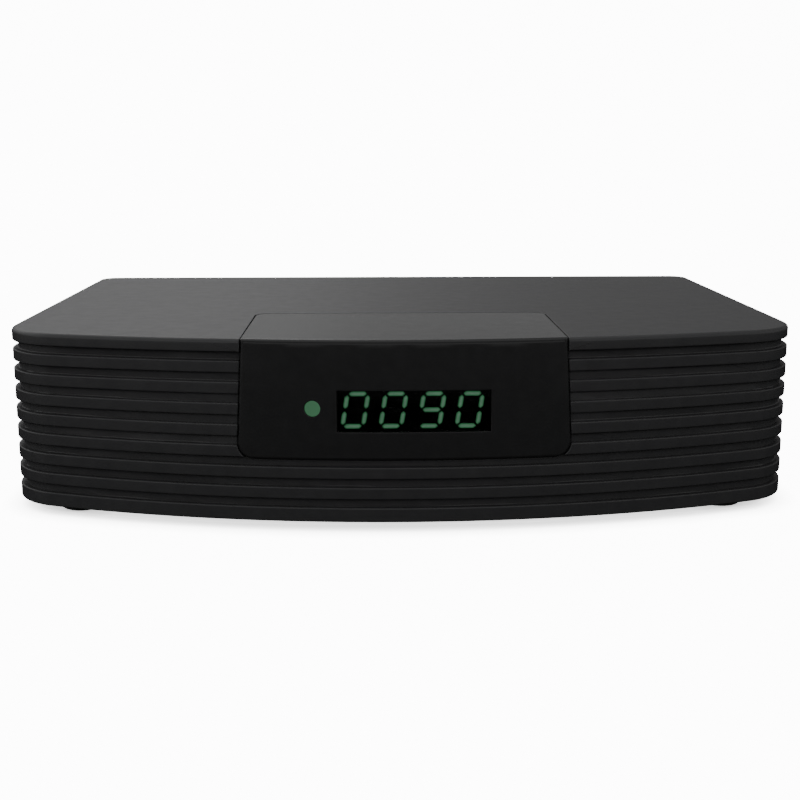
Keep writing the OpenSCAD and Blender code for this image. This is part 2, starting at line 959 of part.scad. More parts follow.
module coils() {
    color("#2a2a2c")
        placed()
            for (at = coil_at)
                translate([power_x + at[0] * power_span, chip_y + at[1] * coil_w, main_top]) {
                    board_part(0, 0, [coil_w, coil_w, coil_h * 0.8], 0);
                    cylinder(r = coil_w * 0.45, h = coil_h);
                }
}

module regulator() {
    tab_t = 0.6;
    color("#1b1c1e")
        placed()
            translate([power_x + regulator_at[0] * power_span, chip_y + regulator_at[1] * regulator_w,
                main_top]) {
                board_part(0, 0, [regulator_w, regulator_w, regulator_h], 0);
                board_part(0, regulator_w * 0.65, [regulator_w * 0.8, regulator_w * 0.4, tab_t], 0);
            }
}

// Sockets

module tuner_frame() {
    z1 = main_top + tuner_h - can_t;
    color("#b9bcbe")
        placed()
            difference() {
                block(tuner_x - tuner_w / 2, tuner_x + tuner_w / 2, tuner_y0, tuner_y1,
                    main_top, z1);
                block(tuner_x - tuner_w / 2 + can_t, tuner_x + tuner_w / 2 - can_t,
                    tuner_y0 + can_t, tuner_y0 + tuner_d * 0.45, main_top + can_t, z1 + 1);
                block(tuner_x - tuner_w / 2 + can_t, tuner_x + tuner_w / 2 - can_t,
                    tuner_y0 + tuner_d * 0.45 + can_t, tuner_y1 - can_t, main_top + can_t, z1 + 1);
            }
}

module tuner_lid() {
    z0 = main_top + tuner_h - can_t;
    color("#c4c7c9")
        placed()
            difference() {
                block(tuner_x - tuner_w / 2, tuner_x + tuner_w / 2, tuner_y0, tuner_y1,
                    z0, z0 + can_t);
                for (i = [-1, 1])
                    post(tuning_hole_r, tuner_x + i * tuner_w / 4, tuner_y0 + tuner_d * 0.7, z0 - 1, z0 + 2);
            }
}

module aerial_input() {
    x = tuner_x - aerial_step;
    color("#c9cbcd")
        placed()
            difference() {
                bar(aerial_in_r, x, aerial_z, tuner_y1, aerial_end);
                bar(aerial_in_r - sleeve_t, x, aerial_z, tuner_y1 - 1, aerial_end + 1);
            }
}

module aerial_input_core() {
    x = tuner_x - aerial_step;
    color("#e8e6e0")
        placed()
            difference() {
                union() {
                    bar(aerial_in_r - sleeve_t - press_play, x, aerial_z, tuner_y1,
                        tuner_y1 + plug_t);
                    bar(aerial_pin_r + 0.9, x, aerial_z, tuner_y1, aerial_end - 1.5);
                }
                bar(aerial_pin_r + 0.1, x, aerial_z, tuner_y1 + plug_t, aerial_end);
            }
}

module aerial_loop() {
    x = tuner_x + aerial_step;
    color("#c9cbcd")
        placed()
            difference() {
                union() {
                    bar(aerial_out_r, x, aerial_z, tuner_y1, aerial_end);
                    bar(collar_r, x, aerial_z, tuner_y1, collar_end);
                }
                bar(aerial_out_r - sleeve_t, x, aerial_z, tuner_y1 - 1, aerial_end + 1);
            }
}

module aerial_loop_pin() {
    x = tuner_x + aerial_step;
    color("#d9c58a")
        placed() {
            bar(aerial_out_r - sleeve_t - press_play, x, aerial_z, tuner_y1, tuner_y1 + plug_t);
            bar(aerial_pin_r, x, aerial_z, tuner_y1, aerial_end - 1);
        }
}

module audio_body() {
    y0 = main_y1 - audio_body_d;
    color("#1d1e20")
        placed()
            difference() {
                union() {
                    block(audio_x - audio_w / 2, audio_x + audio_w / 2, y0, main_y1,
                        main_top, main_top + audio_h);
                    bar(audio_r - sleeve_t - press_play, audio_x, audio_z, main_y1,
                        audio_end - 1);
                }
                bar(audio_pin_r, audio_x, audio_z, audio_end - audio_depth, audio_end + 1);
            }
}

module audio_barrel() {
    color("#d98a2b")
        placed()
            difference() {
                bar(audio_r, audio_x, audio_z, main_y1, audio_end);
                bar(audio_r - sleeve_t, audio_x, audio_z, main_y1 - 1, audio_end + 1);
            }
}

module scart_frame(w, h, y0, y1) {
    z = main_top + scart_h / 2;
    block(scart_x - w / 2, scart_x + w / 2, y0, y1, z - h / 2, z + h / 2);
}

// Places one blade slot in each of the two rows
module scart_blades() {
    z = main_top + scart_h / 2;
    for (row = [-1, 1])
        for (i = [0:blade_count - 1])
            translate([scart_x + (i - (blade_count - 1) / 2 + row * 0.25) * blade_pitch, 0,
                z + row * (scart_island_h / 2 - blade_h / 2 - 1)])
                children();
}

module scart_socket() {
    floor_y = scart_end - scart_depth;
    color("#151617")
        placed()
            difference() {
                scart_frame(scart_w, scart_h, main_y1 - scart_body_d, scart_end);
                difference() {
                    scart_frame(scart_w - 2 * scart_rim, scart_h - 2 * scart_rim, floor_y,
                        scart_end + 1);
                    scart_frame(scart_island_w, scart_island_h, floor_y - 1, scart_end + 2);
                }
                scart_blades()
                    block(-blade_w / 2, blade_w / 2, floor_y, scart_end + 1,
                        -blade_h / 2, blade_h / 2);
            }
}

module scart_contacts() {
    floor_y = scart_end - scart_depth;
    color("#c8a24a")
        placed()
            scart_blades()
                block(-blade_w / 2 + seat_play, blade_w / 2 - seat_play, floor_y, scart_end - 1,
                    -blade_t / 2, blade_t / 2);
}

// Thin metal shell, open to the back
module socket_shell(x, w, h, d) {
    difference() {
        block(x - w / 2, x + w / 2, main_y1 - d, shell_end, main_top, main_top + h);
        block(x - w / 2 + shell_t, x + w / 2 - shell_t, main_y1 - d + shell_t, shell_end + 1,
            main_top + shell_t, main_top + h - shell_t);
    }
}

// Insulator inside a shell: a block at the inner end and a tongue
module socket_tongue(x, w, h, d, tongue_w, tongue_t) {
    inset = shell_t + press_play;
    y0 = main_y1 - d + inset;
    z = main_top + h / 2;
    block(x - w / 2 + inset, x + w / 2 - inset, y0, y0 + tongue_base,
        main_top + inset, main_top + h - inset);
    block(x - tongue_w / 2, x + tongue_w / 2, y0, shell_end - 1.2,
        z - tongue_t / 2, z + tongue_t / 2);
}

module video_shell() {
    color("#c3c5c7")
        placed()
            socket_shell(video_x, video_w, video_h, video_body_d);
}

module video_tongue() {
    color("#141516")
        placed()
            socket_tongue(video_x, video_w, video_h, video_body_d, video_w - 4, 1.2);
}

module stick_shell() {
    color("#c3c5c7")
        placed()
            socket_shell(stick_x, stick_w, stick_h, stick_body_d);
}

module stick_tongue() {
    color("#e6e4dc")
        placed()
            socket_tongue(stick_x, stick_w, stick_h, stick_body_d, stick_w - 2.4, 1.6);
}

module switch_housing() {
    color("#161718")
        placed()
            difference() {
                block(switch_x - switch_w / 2, switch_x + switch_w / 2,
                    main_y1 - switch_body_d, switch_end, main_top, main_top + switch_h);
                block(switch_x - pocket_half, switch_x + pocket_half, pocket_y, switch_end + 1,
                    switch_z - pocket_h / 2, switch_z + pocket_h / 2);
                post(rocker_pin_r + pin_play, switch_x, pivot_y,
                    switch_z - pocket_h / 2 - pin_grip - seat_play,
                    switch_z + pocket_h / 2 + pin_grip + seat_play);
            }
}

module switch_rocker() {
    dip = rocker_rise - 1;
    color("#0f1011")
        placed()
            translate([switch_x, pivot_y, switch_z])
                rotate([0, 0, -rocker_tilt]) {
                    translate([0, 0, -rocker_h / 2])
                        linear_extrude(rocker_h)
                            polygon(mirrored([[rocker_half * 0.35, dip + 0.1],
                                [rocker_half, rocker_rise],
                                [rocker_half, -0.6], [rocker_half * 0.75, -2],
                                [rocker_half * 0.25, -rocker_half * 0.6]]));
                    translate([0, 0, -pocket_h / 2 - pin_grip])
                        cylinder(r = rocker_pin_r, h = pocket_h + 2 * pin_grip);
                }
}

module power_jack() {
    color("#121314")
        placed()
            difference() {
                block(jack_x - jack_w / 2, jack_x + jack_w / 2, main_y1 - jack_body_d,
                    panel_y1 + 0.5, main_top, main_top + jack_h);
                bar(jack_hole_r, jack_x, jack_z, panel_y1 - jack_depth, panel_y1 + 2);
                bar(jack_pin_r + pin_play, jack_x, jack_z, panel_y1 - jack_depth - 2, panel_y1);
            }
}

module power_jack_pin() {
    color("#c9cbcd")
        placed()
            bar(jack_pin_r, jack_x, jack_z, panel_y1 - jack_depth - 2, panel_y1 - 0.6);
}

top_cover();
base_plate();
rear_panel();
front_fascia();
display_window();
status_light_pipe();
foot_front_left();
foot_front_right();
foot_rear_left();
foot_rear_right();
case_screws();
board_screws();
front_board_screws();
front_board();
led_display();
display_segments();
status_led();
infrared_receiver();
front_header();
ribbon_cable();
main_header();
main_board();
system_chip();
thermal_pad();
heat_sink();
memory_chips();
flash_chip();
crystal();
capacitors();
coils();
regulator();
tuner_frame();
tuner_lid();
aerial_input();
aerial_input_core();
aerial_loop();
aerial_loop_pin();
audio_body();
audio_barrel();
scart_socket();
scart_contacts();
video_shell();
video_tongue();
stick_shell();
stick_tongue();
switch_housing();
switch_rocker();
power_jack();
power_jack_pin();
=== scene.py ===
import bpy
import json
import math
from mathutils import Matrix, Vector

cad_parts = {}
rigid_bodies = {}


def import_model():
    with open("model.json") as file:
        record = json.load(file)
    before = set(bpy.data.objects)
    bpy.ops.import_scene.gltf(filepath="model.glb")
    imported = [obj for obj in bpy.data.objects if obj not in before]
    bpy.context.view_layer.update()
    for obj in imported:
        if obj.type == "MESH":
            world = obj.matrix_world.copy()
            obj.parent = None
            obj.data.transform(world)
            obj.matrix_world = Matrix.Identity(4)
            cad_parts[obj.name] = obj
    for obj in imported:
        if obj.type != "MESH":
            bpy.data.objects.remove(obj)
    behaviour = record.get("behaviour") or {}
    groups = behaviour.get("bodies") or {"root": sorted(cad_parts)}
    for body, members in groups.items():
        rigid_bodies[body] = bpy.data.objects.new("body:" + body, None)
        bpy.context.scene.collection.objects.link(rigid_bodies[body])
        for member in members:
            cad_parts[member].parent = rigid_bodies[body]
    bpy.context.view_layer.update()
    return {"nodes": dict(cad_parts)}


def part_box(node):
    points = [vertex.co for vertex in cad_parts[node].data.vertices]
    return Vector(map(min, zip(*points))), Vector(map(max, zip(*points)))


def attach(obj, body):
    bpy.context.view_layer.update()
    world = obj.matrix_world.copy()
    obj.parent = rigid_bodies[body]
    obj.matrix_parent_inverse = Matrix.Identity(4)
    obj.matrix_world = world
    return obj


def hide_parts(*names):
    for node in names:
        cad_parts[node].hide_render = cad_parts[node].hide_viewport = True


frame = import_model()
nodes = frame["nodes"]
mm = 0.001
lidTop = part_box("top_cover")[1].z / mm
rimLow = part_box("top_cover")[0].z / mm
print("frame loaded:", len(nodes), "nodes")

# limits for copied solids (weld, flat, sharp) and rounded ones (speck, smooth): mm and degrees
meshing = {"weld": 0.02, "flat": 0.3, "sharp": 25, "speck": 0.001, "smooth": 35}


# selection and mode helpers
def clearSelection():
    if bpy.context.mode != "OBJECT":
        bpy.ops.object.mode_set(mode="OBJECT")
    bpy.ops.object.select_all(action="DESELECT")


def takeHold(piece):
    clearSelection()
    piece.select_set(True)
    bpy.context.view_layer.objects.active = piece


# a piece held with nothing selected in its mesh, ready for a choice of vertices, edges or faces
def clearMesh(piece, kind):
    takeHold(piece)
    bpy.ops.object.mode_set(mode="EDIT")
    bpy.ops.mesh.select_mode(type=kind)
    bpy.ops.mesh.select_all(action="DESELECT")
    bpy.ops.object.mode_set(mode="OBJECT")


# a merged copy of a CAD node, flat faces joined, ready for rounding
def copyOfNode(nodeName, pieceName):
    takeHold(nodes[nodeName])
    bpy.ops.object.duplicate()
    piece = bpy.context.active_object
    piece.name = pieceName
    piece.data.name = pieceName
    bpy.ops.object.parent_clear(type="CLEAR_KEEP_TRANSFORM")
    bpy.ops.mesh.customdata_custom_splitnormals_clear()
    bpy.ops.object.mode_set(mode="EDIT")
    bpy.ops.mesh.select_all(action="SELECT")
    bpy.ops.mesh.remove_doubles(threshold=meshing["weld"] * mm)
    bpy.ops.mesh.dissolve_limited(angle_limit=math.radians(meshing["flat"]))
    bpy.ops.object.mode_set(mode="OBJECT")
    return piece


# sharp outside edges get a bevel weight from a rule that gives their radius in mm
def weighEdges(piece, rule, widest):
    clearMesh(piece, "EDGE")
    bpy.ops.object.mode_set(mode="EDIT")
    bpy.ops.mesh.edges_select_sharp(sharpness=math.radians(meshing["sharp"]))
    bpy.ops.object.mode_set(mode="OBJECT")
    mesh = piece.data
    facesOf = {}
    for face in mesh.polygons:
        for key in face.edge_keys:
            facesOf.setdefault(key, []).append(face)
    weights = mesh.attributes.new("bevel_weight_edge", "FLOAT", "EDGE")
    for edge in mesh.edges:
        sides = facesOf.get(edge.key, [])
        if not edge.select or len(sides) != 2:
            continue
        if (sides[1].center - sides[0].center).dot(sides[0].normal) < 0:
            a, b = (mesh.vertices[i].co / mm for i in edge.vertices)
            weights.data[edge.index].value = rule(a, b, sides[0].normal, sides[1].normal) / widest


# rounds the weighted edges, or every edge past an angle where one is given
def roundEdges(piece, width, segments, angle=0, clamp=False):
    takeHold(piece)
    bevel = piece.modifiers.new("edges", "BEVEL")
    bevel.width = width * mm
    bevel.segments = segments
    bevel.limit_method = "ANGLE" if angle else "WEIGHT"
    bevel.angle_limit = math.radians(angle)
    bevel.use_clamp_overlap = clamp
    bpy.ops.object.modifier_apply(modifier=bevel.name)
    bpy.ops.object.mode_set(mode="EDIT")
    bpy.ops.mesh.select_all(action="SELECT")
    bpy.ops.mesh.remove_doubles(threshold=meshing["speck"] * mm)
    bpy.ops.mesh.dissolve_degenerate(threshold=meshing["speck"] * mm)
    bpy.ops.object.mode_set(mode="OBJECT")
    bpy.ops.object.shade_smooth_by_angle(angle=math.radians(meshing["smooth"]))
    even = piece.modifiers.new("even", "WEIGHTED_NORMAL")
    even.keep_sharp = True
    bpy.ops.object.modifier_apply(modifier=even.name)


def dress(piece, material):
    piece.data.materials.clear()
    piece.data.materials.append(material)


# a second material on the faces that pass a test
def dressFaces(piece, material, test):
    piece.data.materials.append(material)
    for face in piece.data.polygons:
        face.material_index = 1 if test(face) else 0


def standFor(piece, nodeName, material, body="case"):
    dress(piece, material)
    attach(piece, body)
    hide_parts(nodeName)


# node helpers: values are sockets to link or numbers to set
def feed(tree, value, socket):
    if isinstance(value, bpy.types.NodeSocket):
        tree.links.new(value, socket)
    else:
        socket.default_value = value


def reckon(tree, operation, *values):
    step = tree.nodes.new("ShaderNodeMath")
    step.operation = operation
    for value, socket in zip(values, step.inputs):
        feed(tree, value, socket)
    return step.outputs[0]


def noise(tree, place, scale, detail=2, roughness=0.5):
    cloud = tree.nodes.new("ShaderNodeTexNoise")
    cloud.inputs["Detail"].default_value = detail
    cloud.inputs["Roughness"].default_value = roughness
    feed(tree, place, cloud.inputs["Vector"])
    feed(tree, scale, cloud.inputs["Scale"])
    return cloud.outputs["Fac"]


def mapped(tree, place, setting, value):
    layout = tree.nodes.new("ShaderNodeMapping")
    layout.inputs[setting].default_value = value
    tree.links.new(place, layout.inputs["Vector"])
    return layout.outputs[0]


def axesOf(tree, place):
    axes = tree.nodes.new("ShaderNodeSeparateXYZ")
    tree.links.new(place, axes.inputs[0])
    return axes.outputs


def between(tree, factor, first, second):
    mix = tree.nodes.new("ShaderNodeMix")
    tree.links.new(factor, mix.inputs["Factor"])
    tree.links.new(first, mix.inputs["A"])
    tree.links.new(second, mix.inputs["B"])
    return mix.outputs["Result"]


# a plain colour laid over another one where the mask is 1
def overlay(tree, mask, under, over):
    mix = tree.nodes.new("ShaderNodeMix")
    mix.data_type = "RGBA"
    mix.inputs["B"].default_value = (*over, 1)
    tree.links.new(mask, mix.inputs["Factor"])
    tree.links.new(under, mix.inputs["A"])
    return mix.outputs["Result"]


def spread(tree, source, low, high, start=0.35, stop=0.95):
    reach = tree.nodes.new("ShaderNodeMapRange")
    reach.inputs["From Min"].default_value = start
    reach.inputs["From Max"].default_value = stop
    reach.inputs["To Min"].default_value = low
    reach.inputs["To Max"].default_value = high
    tree.links.new(source, reach.inputs["Value"])
    return reach.outputs["Result"]


def tint(tree, source, dark, light, start=0.35, stop=0.95):
    ramp = tree.nodes.new("ShaderNodeValToRGB")
    ramp.color_ramp.elements[0].position = start
    ramp.color_ramp.elements[0].color = (*dark, 1)
    ramp.color_ramp.elements[1].position = stop
    ramp.color_ramp.elements[1].color = (*light, 1)
    tree.links.new(source, ramp.inputs["Fac"])
    return ramp.outputs["Color"]


def emboss(tree, shader, height, strength, depth):
    bump = tree.nodes.new("ShaderNodeBump")
    bump.inputs["Strength"].default_value = strength
    bump.inputs["Distance"].default_value = depth * mm
    tree.links.new(height, bump.inputs["Height"])
    tree.links.new(bump.outputs["Normal"], shader.inputs["Normal"])


# a shared effect: a Vector input, number inputs with their usual values, number outputs
def newGroup(name, settings, results):
    group = bpy.data.node_groups.new(name, "ShaderNodeTree")
    group.interface.new_socket("Vector", in_out="INPUT", socket_type="NodeSocketVector")
    for title, value in settings.items():
        socket = group.interface.new_socket(title, in_out="INPUT", socket_type="NodeSocketFloat")
        socket.default_value = value
    for title in results:
        group.interface.new_socket(title, in_out="OUTPUT", socket_type="NodeSocketFloat")
    return group, group.nodes.new("NodeGroupInput").outputs, group.nodes.new("NodeGroupOutput").inputs


def useGroup(tree, group, place, settings):
    effect = tree.nodes.new("ShaderNodeGroup")
    effect.node_tree = group
    tree.links.new(place, effect.inputs["Vector"])
    for title, value in settings.items():
        effect.inputs[title].default_value = value
    return effect.outputs


# fine grain over a slow drift of tone
grainLook = {"usual": {"Scale": 2500, "Drift": 30}, "fineDetail": 3, "fineRoughness": 0.6, "slowDetail": 4,
             "fineShare": 0.35}


def makeGrain():
    group, given, result = newGroup("mouldGrain", grainLook["usual"], ("Height", "Tone"))
    fine = noise(group, given["Vector"], given["Scale"], grainLook["fineDetail"], grainLook["fineRoughness"])
    slow = noise(group, given["Vector"], given["Drift"], grainLook["slowDetail"])
    group.links.new(fine, result["Height"])
    group.links.new(reckon(group, "MULTIPLY_ADD", fine, grainLook["fineShare"], slow), result["Tone"])
    return group


# drawn-out lines over larger patches
brushLook = {"usual": {"Scale": 400}, "stretch": (1, 1, 14), "lineDetail": 4, "patchScale": 90, "lineShare": 0.5}


def makeBrush():
    group, given, result = newGroup("rolledMetal", brushLook["usual"], ("Height", "Tone"))
    drawn = mapped(group, given["Vector"], "Scale", brushLook["stretch"])
    lines = noise(group, drawn, given["Scale"], brushLook["lineDetail"])
    patch = noise(group, given["Vector"], brushLook["patchScale"])
    group.links.new(lines, result["Height"])
    group.links.new(reckon(group, "MULTIPLY_ADD", lines, brushLook["lineShare"], patch), result["Tone"])
    return group


# two courses of bricks give runs along and across, cells give the pads
traceLook = {"usual": {"Scale": 120}, "courses": ((0, 0.37), (math.pi / 2, 0.61)),
             "bricks": {"Mortar Size": 0.035, "Brick Width": 1.7, "Row Height": 0.3},
             "choiceScale": 45, "choiceLimit": 0.5, "padSize": 0.09}


def makeTraces():
    group, given, result = newGroup("copperTraces", traceLook["usual"], ("Runs", "Pads"))
    runs = []
    for turn, offset in traceLook["courses"]:
        bricks = group.nodes.new("ShaderNodeTexBrick")
        bricks.offset = offset
        for title, value in traceLook["bricks"].items():
            bricks.inputs[title].default_value = value
        group.links.new(mapped(group, given["Vector"], "Rotation", (0, 0, turn)), bricks.inputs["Vector"])
        group.links.new(given["Scale"], bricks.inputs["Scale"])
        runs.append(bricks.outputs["Fac"])
    choice = noise(group, given["Vector"], traceLook["choiceScale"])
    side = reckon(group, "GREATER_THAN", choice, traceLook["choiceLimit"])
    dots = group.nodes.new("ShaderNodeTexVoronoi")
    group.links.new(given["Vector"], dots.inputs["Vector"])
    group.links.new(given["Scale"], dots.inputs["Scale"])
    pads = reckon(group, "LESS_THAN", dots.outputs["Distance"], traceLook["padSize"])
    group.links.new(between(group, side, *runs), result["Runs"])
    group.links.new(pads, result["Pads"])
    return group


mouldGrain = makeGrain()
rolledMetal = makeBrush()
copperTraces = makeTraces()
print("surface groups made")


def newMaterial(name):
    material = bpy.data.materials.new(name)
    material.use_nodes = True
    tree = material.node_tree
    where = tree.nodes.new("ShaderNodeTexCoord")
    return material, tree, tree.nodes["Principled BSDF"], where.outputs["Object"]


# tone and roughness that follow a shared effect, and its relief
def surface(tree, shader, effect, dark, light, rough, strength, depth):
    tree.links.new(tint(tree, effect["Tone"], dark, light), shader.inputs["Base Color"])
    tree.links.new(spread(tree, effect["Tone"], *rough), shader.inputs["Roughness"])
    emboss(tree, shader, effect["Height"], strength, depth)


# moulded plastics, paints and rubbers: depth in mm
def moulded(name, dark, light, rough, scale, drift, strength=0.3, depth=0.03, gloss=0.5):
    material, tree, shader, place = newMaterial(name)
    grain = useGroup(tree, mouldGrain, place, {"Scale": scale, "Drift": drift})
    surface(tree, shader, grain, dark, light, rough, strength, depth)
    shader.inputs["Specular IOR Level"].default_value = gloss
    return material


def metal(name, dark, light, rough, scale=400, strength=0.2, depth=0.01):
    material, tree, shader, place = newMaterial(name)
    sheet = useGroup(tree, rolledMetal, place, {"Scale": scale})
    surface(tree, shader, sheet, dark, light, rough, strength, depth)
    shader.inputs["Metallic"].default_value = 1
    return material


mouldings = {
    "caseBlack": {"dark": (0.017, 0.017, 0.018), "light": (0.022, 0.022, 0.023), "rough": (0.46, 0.52),
                  "scale": 2500, "drift": 260, "gloss": 0.3},
    "fasciaBlack": {"dark": (0.012, 0.012, 0.0122), "light": (0.014, 0.014, 0.0142), "rough": (0.22, 0.26),
                    "scale": 3500, "drift": 300, "strength": 0.12, "depth": 0.02, "gloss": 0.14},
    "panelPaint": {"dark": (0.03, 0.03, 0.031), "light": (0.042, 0.042, 0.043), "rough": (0.46, 0.58),
                   "scale": 1400, "drift": 40, "strength": 0.35, "depth": 0.05},
    "footRubber": {"dark": (0.008, 0.008, 0.008), "light": (0.016, 0.016, 0.016), "rough": (0.6, 0.8),
                   "scale": 1600, "drift": 80, "strength": 0.5, "depth": 0.05, "gloss": 0.3},
    "partBlack": {"dark": (0.012, 0.012, 0.013), "light": (0.022, 0.022, 0.023), "rough": (0.4, 0.6),
                  "scale": 2000, "drift": 120},
    "headerCream": {"dark": (0.62, 0.58, 0.48), "light": (0.74, 0.7, 0.6), "rough": (0.4, 0.55),
                    "scale": 1500, "drift": 90, "strength": 0.2},
    "displayBlack": {"dark": (0.0006, 0.0006, 0.0006), "light": (0.001, 0.001, 0.001), "rough": (0.6, 0.75),
                     "scale": 2500, "drift": 60, "strength": 0.1, "depth": 0.01, "gloss": 0.1},
    "segmentRest": {"dark": (0.002, 0.0025, 0.0022), "light": (0.004, 0.005, 0.0045), "rough": (0.5, 0.7),
                    "scale": 900, "drift": 300, "strength": 0.1, "depth": 0.02, "gloss": 0.2},
    "padBlue": {"dark": (0.2, 0.28, 0.38), "light": (0.28, 0.37, 0.48), "rough": (0.7, 0.85),
                "scale": 900, "drift": 90, "strength": 0.4, "depth": 0.05},
    "audioOrange": {"dark": (0.62, 0.2, 0.03), "light": (0.75, 0.28, 0.05), "rough": (0.3, 0.4),
                    "scale": 1200, "drift": 70, "strength": 0.1, "depth": 0.02},
    "coilDark": {"dark": (0.03, 0.03, 0.032), "light": (0.055, 0.055, 0.058), "rough": (0.5, 0.7),
                 "scale": 1300, "drift": 150, "strength": 0.5, "depth": 0.06},
    "capSleeve": {"dark": (0.012, 0.016, 0.05), "light": (0.02, 0.026, 0.075), "rough": (0.3, 0.42),
                  "scale": 900, "drift": 120, "strength": 0.15, "depth": 0.02},
    "ledClear": {"dark": (0.2, 0.42, 0.26), "light": (0.28, 0.52, 0.34), "rough": (0.12, 0.22),
                 "scale": 600, "drift": 90, "strength": 0.05, "depth": 0.01},
}
metals = {
    "sinkDark": {"dark": (0.05, 0.05, 0.055), "light": (0.09, 0.09, 0.095), "rough": (0.45, 0.6),
                 "scale": 600, "strength": 0.3, "depth": 0.03},
    "tinPlate": {"dark": (0.5, 0.5, 0.51), "light": (0.66, 0.66, 0.67), "rough": (0.24, 0.4)},
    "screwSteel": {"dark": (0.42, 0.42, 0.43), "light": (0.6, 0.6, 0.61), "rough": (0.28, 0.42), "scale": 900},
    "contactGold": {"dark": (0.6, 0.42, 0.13), "light": (0.76, 0.56, 0.2), "rough": (0.25, 0.4), "scale": 900},
}
finish = {name: moulded(name, **look) for name, look in mouldings.items()}
finish.update({name: metal(name, **look) for name, look in metals.items()})
print("plain finishes made:", len(finish))

# camera from the photo's own perspective: place in metres, turns in degrees, focal length in pixels of its width
shot = {"place": (-0.00816, -0.39972, 0.10264), "yaw": -1.231, "pitch": -11.860, "roll": -0.062, "focal": 1248.1,
        "pixels": 800, "sensor": 36, "nearest": 0.01}


def makeCamera():
    lens = bpy.data.cameras.new("shotCamera")
    lens.sensor_width = shot["sensor"]
    lens.lens = shot["focal"] / shot["pixels"] * shot["sensor"]
    lens.clip_start = shot["nearest"]
    camera = bpy.data.objects.new("shotCamera", lens)
    bpy.context.scene.collection.objects.link(camera)
    turn = Matrix.Rotation(math.radians(shot["yaw"]), 4, "Z")
    tilt = Matrix.Rotation(math.radians(90 + shot["pitch"]), 4, "X")
    roll = Matrix.Rotation(math.radians(shot["roll"]), 4, "Z")
    camera.matrix_world = Matrix.Translation(shot["place"]) @ turn @ tilt @ roll
    bpy.context.scene.camera = camera


makeCamera()
print("camera placed")

# cover: edge radii and places in mm, then limits on an edge's direction and a face's normal
cover = {"lidRound": 1.15, "notchRound": 0.3, "ribRound": 0.35, "rimRound": 0.4, "steps": 4,
         "notchHalf": 44.6, "notchFront": -60, "band": 3.5, "level": 0.05, "near": 0.1,
         "inward": 0.2, "under": -0.9}


# radius of the edge from a to b between faces with normals na and nb
def coverRule(a, b, na, nb):
    z = (a.z + b.z) / 2
    inNotch = max(abs(a.x), abs(b.x)) < cover["notchHalf"]
    if abs(a.z - b.z) >= cover["level"]:
        return cover["notchRound"] if inNotch and a.y < cover["notchFront"] else 0
    if z > lidTop - cover["level"]:
        inward = abs((a - b).normalized().x) < cover["inward"]
        atNotch = inNotch and (inward or max(a.y, b.y) > cover["notchFront"])
        return cover["notchRound"] if atNotch else cover["lidRound"]
    if z < rimLow + cover["near"]:
        return cover["rimRound"]
    ribsFrom = lidTop - cover["band"]
    if min(na.z, nb.z) < cover["under"]:
        ribsFrom += cover["near"]
    return cover["ribRound"] if z < ribsFrom else 0


def makeCover():
    piece = copyOfNode("top_cover", "coverShell")
    weighEdges(piece, coverRule, cover["lidRound"])
    roundEdges(piece, cover["lidRound"], cover["steps"])
    standFor(piece, "top_cover", finish["caseBlack"])


makeCover()
print("cover made")

# fascia: edge radii and places in mm, then the limit on a face's normal
fascia = {"browRound": 1.2, "sideRound": 0.8, "topRound": 0.3, "holeRound": 0.15, "steps": 4, "height": 31.5,
          "half": 44, "ease": 0.18, "lip": -70, "outer": 36, "nearTop": 0.1, "nearLow": 0.2, "facing": 0.7}


def fasciaRule(a, b, na, nb):
    z = (a.z + b.z) / 2
    front = min(na.y, nb.y) < -fascia["facing"]
    atTop = max(na.z, nb.z) > fascia["facing"] and z > lidTop - fascia["nearTop"]
    if front and atTop:
        return fascia["browRound"]
    if front:
        atSide = max(abs(a.x), abs(b.x)) > fascia["outer"]
        atFoot = z < lidTop - fascia["height"] + fascia["nearLow"]
        return fascia["sideRound"] if atSide or atFoot else fascia["holeRound"]
    return fascia["topRound"] if atTop else 0


def makeFascia():
    piece = copyOfNode("front_fascia", "fasciaPanel")
    clearMesh(piece, "VERT")
    for vertex in piece.data.vertices:
        vertex.select = vertex.co.y < fascia["lip"] * mm
    bpy.ops.object.mode_set(mode="EDIT")
    snug = 1 + fascia["ease"] / fascia["half"]  # closes most of the moulding gap, as on the finished case
    bpy.ops.transform.resize(value=(snug, 1, 1), center_override=(0, 0, 0))
    bpy.ops.object.mode_set(mode="OBJECT")
    weighEdges(piece, fasciaRule, fascia["browRound"])
    roundEdges(piece, fascia["browRound"], fascia["steps"])
    for vertex in piece.data.vertices:
        vertex.co.z = min(vertex.co.z, lidTop * mm)  # the three-edge corners stay level with the lid
    standFor(piece, "front_fascia", finish["fasciaBlack"])


makeFascia()
print("fascia made")

# four slanted digits in mm and degrees: which segments are lit, how far the middle and end bars reach,
# how a lit segment's front is told from its other faces (normal, area in square metres), and the light
digits = {"shown": "0090", "lit": {"0": "abcdef", "9": "abcdfg"}, "pitch": 10.07, "slant": 9,
          "middleBar": 1, "endBars": 3.8, "round": 0.05, "steps": 1, "angle": 30,
          "inset": 0.22, "facing": -0.9, "smallest": 1e-6, "grain": 900,
          "core": (0.115, 0.25, 0.155), "coreBody": (0.05, 0.08, 0.06),
          "fringe": (0.034, 0.163, 0.068), "fringeBody": (0.02, 0.06, 0.03)}


def segmentLetter(x, z):
    if abs(z) < digits["middleBar"]:
        return "g"
    if abs(z) > digits["endBars"]:
        return "a" if z > 0 else "d"
    if x > z * math.tan(math.radians(digits["slant"])):
        return "b" if z > 0 else "c"
    return "f" if z > 0 else "e"


